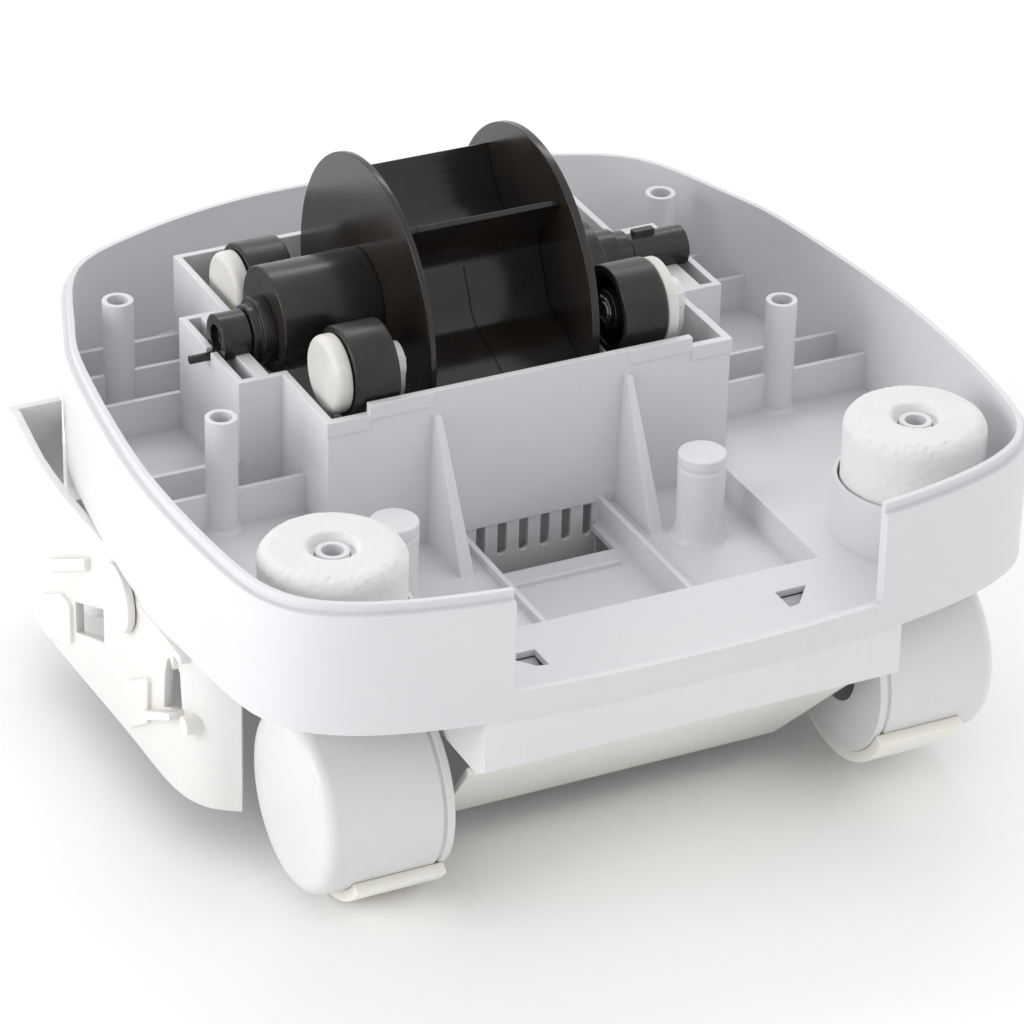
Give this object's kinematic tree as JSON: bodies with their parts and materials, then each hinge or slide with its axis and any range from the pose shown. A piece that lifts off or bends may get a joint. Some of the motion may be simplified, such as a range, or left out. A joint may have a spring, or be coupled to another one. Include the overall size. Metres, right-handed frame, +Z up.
{
  "type": "pool cleaner chassis",
  "caption": "White walking pool cleaner chassis without its top cover, with a black spool turbine, cam rollers, foam floats, rocking pods with cream shoes, flaps and side wings.",
  "frame": {"origin": "centre of the bounding box's bottom face, on the ground under the shoes", "axes": "+X to the cleaner's right, +Y to its rear, +Z up"},
  "size_m": [0.2914, 0.2951, 0.1852],
  "materials": {
    "white_shell": "satin",
    "black_plastic": "gloss",
    "float_foam": "matte",
    "nylon": "satin",
    "urethane": "satin",
    "stainless": "brushed"
  },
  "bodies": {
    "body": {"tray": "white_shell", "lower_body": "white_shell", "float_left": "float_foam", "float_right": "float_foam", "bearing_left": "black_plastic", "bearing_right": "black_plastic", "yoke_shaft": "stainless", "pod_axle_front_left": "stainless", "pod_axle_rear_left": "stainless", "pod_axle_front_right": "stainless", "pod_axle_rear_right": "stainless", "flap_pin_front": "stainless", "flap_pin_rear": "stainless", "wing_left": "white_shell", "wing_right": "white_shell", "wing_cap_left": "white_shell", "wing_cap_right": "white_shell"},
    "turbine": {"turbine_disc_left": "black_plastic", "turbine_disc_right": "black_plastic", "turbine_vanes": "black_plastic", "turbine_shaft": "black_plastic", "cam_left": "black_plastic", "cam_right": "black_plastic"},
    "rocker_left": {"yoke_left": "white_shell", "roller_axle_front_left": "stainless", "roller_axle_rear_left": "stainless", "puck_front_left": "nylon", "puck_rear_left": "nylon"},
    "rocker_right": {"yoke_right": "white_shell", "roller_axle_front_right": "stainless", "roller_axle_rear_right": "stainless", "washer_front_right": "nylon", "washer_rear_right": "nylon"},
    "cam_roller_front_left": {"roller_front_left": "black_plastic"},
    "cam_roller_rear_left": {"roller_rear_left": "black_plastic"},
    "cam_roller_front_right": {"roller_front_right": "black_plastic"},
    "cam_roller_rear_right": {"roller_rear_right": "black_plastic"},
    "foot_front_left": {"pod_front_left": "white_shell", "shoe_front_left": "urethane"},
    "foot_rear_left": {"pod_rear_left": "white_shell", "shoe_rear_left": "urethane"},
    "foot_front_right": {"pod_front_right": "white_shell", "shoe_front_right": "urethane"},
    "foot_rear_right": {"pod_rear_right": "white_shell", "shoe_rear_right": "urethane"},
    "flap_front_body": {"flap_front": "urethane"},
    "flap_rear_body": {"flap_rear": "urethane"}
  },
  "joints": [
    {"name": "turbine_spin", "type": "hinge", "parent": "body", "child": "turbine", "pos_m": [0, 0.0425, 0.13143], "axis": [1, 0, 0], "continuous": true},
    {"name": "rocker_left_rock", "type": "hinge", "parent": "body", "child": "rocker_left", "pos_m": [0, 0.0425, 0.04843], "axis": [1, 0, 0], "range_deg": [-2.5, 0]},
    {"name": "rocker_right_rock", "type": "hinge", "parent": "body", "child": "rocker_right", "pos_m": [0, 0.0425, 0.04843], "axis": [1, 0, 0], "range_deg": [-2.5, 0]},
    {"name": "roller_front_left_spin", "type": "hinge", "parent": "rocker_left", "child": "cam_roller_front_left", "pos_m": [0, -0.00178, 0.1348], "axis": [1, 0, 0], "continuous": true},
    {"name": "roller_rear_left_spin", "type": "hinge", "parent": "rocker_left", "child": "cam_roller_rear_left", "pos_m": [0, 0.08247, 0.12651], "axis": [1, 0, 0], "continuous": true},
    {"name": "roller_front_right_spin", "type": "hinge", "parent": "rocker_right", "child": "cam_roller_front_right", "pos_m": [0, 0.0005, 0.13593], "axis": [1, 0, 0], "continuous": true},
    {"name": "roller_rear_right_spin", "type": "hinge", "parent": "rocker_right", "child": "cam_roller_rear_right", "pos_m": [0, 0.0845, 0.12543], "axis": [1, 0, 0], "continuous": true},
    {"name": "pod_front_left_rock", "type": "hinge", "parent": "body", "child": "foot_front_left", "pos_m": [0, -0.0665, 0.05643], "axis": [1, 0, 0], "range_deg": [-12, 0]},
    {"name": "pod_rear_left_rock", "type": "hinge", "parent": "body", "child": "foot_rear_left", "pos_m": [0, 0.0665, 0.05643], "axis": [1, 0, 0], "range_deg": [0, 12]},
    {"name": "pod_front_right_rock", "type": "hinge", "parent": "body", "child": "foot_front_right", "pos_m": [0, -0.0665, 0.05643], "axis": [1, 0, 0], "range_deg": [0, 12]},
    {"name": "pod_rear_right_rock", "type": "hinge", "parent": "body", "child": "foot_rear_right", "pos_m": [0, 0.0665, 0.05643], "axis": [1, 0, 0], "range_deg": [0, 12]},
    {"name": "flap_front_swing", "type": "hinge", "parent": "body", "child": "flap_front_body", "pos_m": [0, -0.127, 0.05623], "axis": [1, 0, 0], "range_deg": [0, 30]},
    {"name": "flap_rear_swing", "type": "hinge", "parent": "body", "child": "flap_rear_body", "pos_m": [0, 0.127, 0.05623], "axis": [1, 0, 0], "range_deg": [-30, 0]}
  ],
  "couplings": [
    {"joint": "pod_front_left_rock", "follows": "rocker_left_rock", "ratio": 4.8},
    {"joint": "pod_rear_left_rock", "follows": "rocker_left_rock", "ratio": -4.8},
    {"joint": "pod_front_right_rock", "follows": "rocker_right_rock", "ratio": -4.8},
    {"joint": "pod_rear_right_rock", "follows": "rocker_right_rock", "ratio": -4.8}
  ]
}
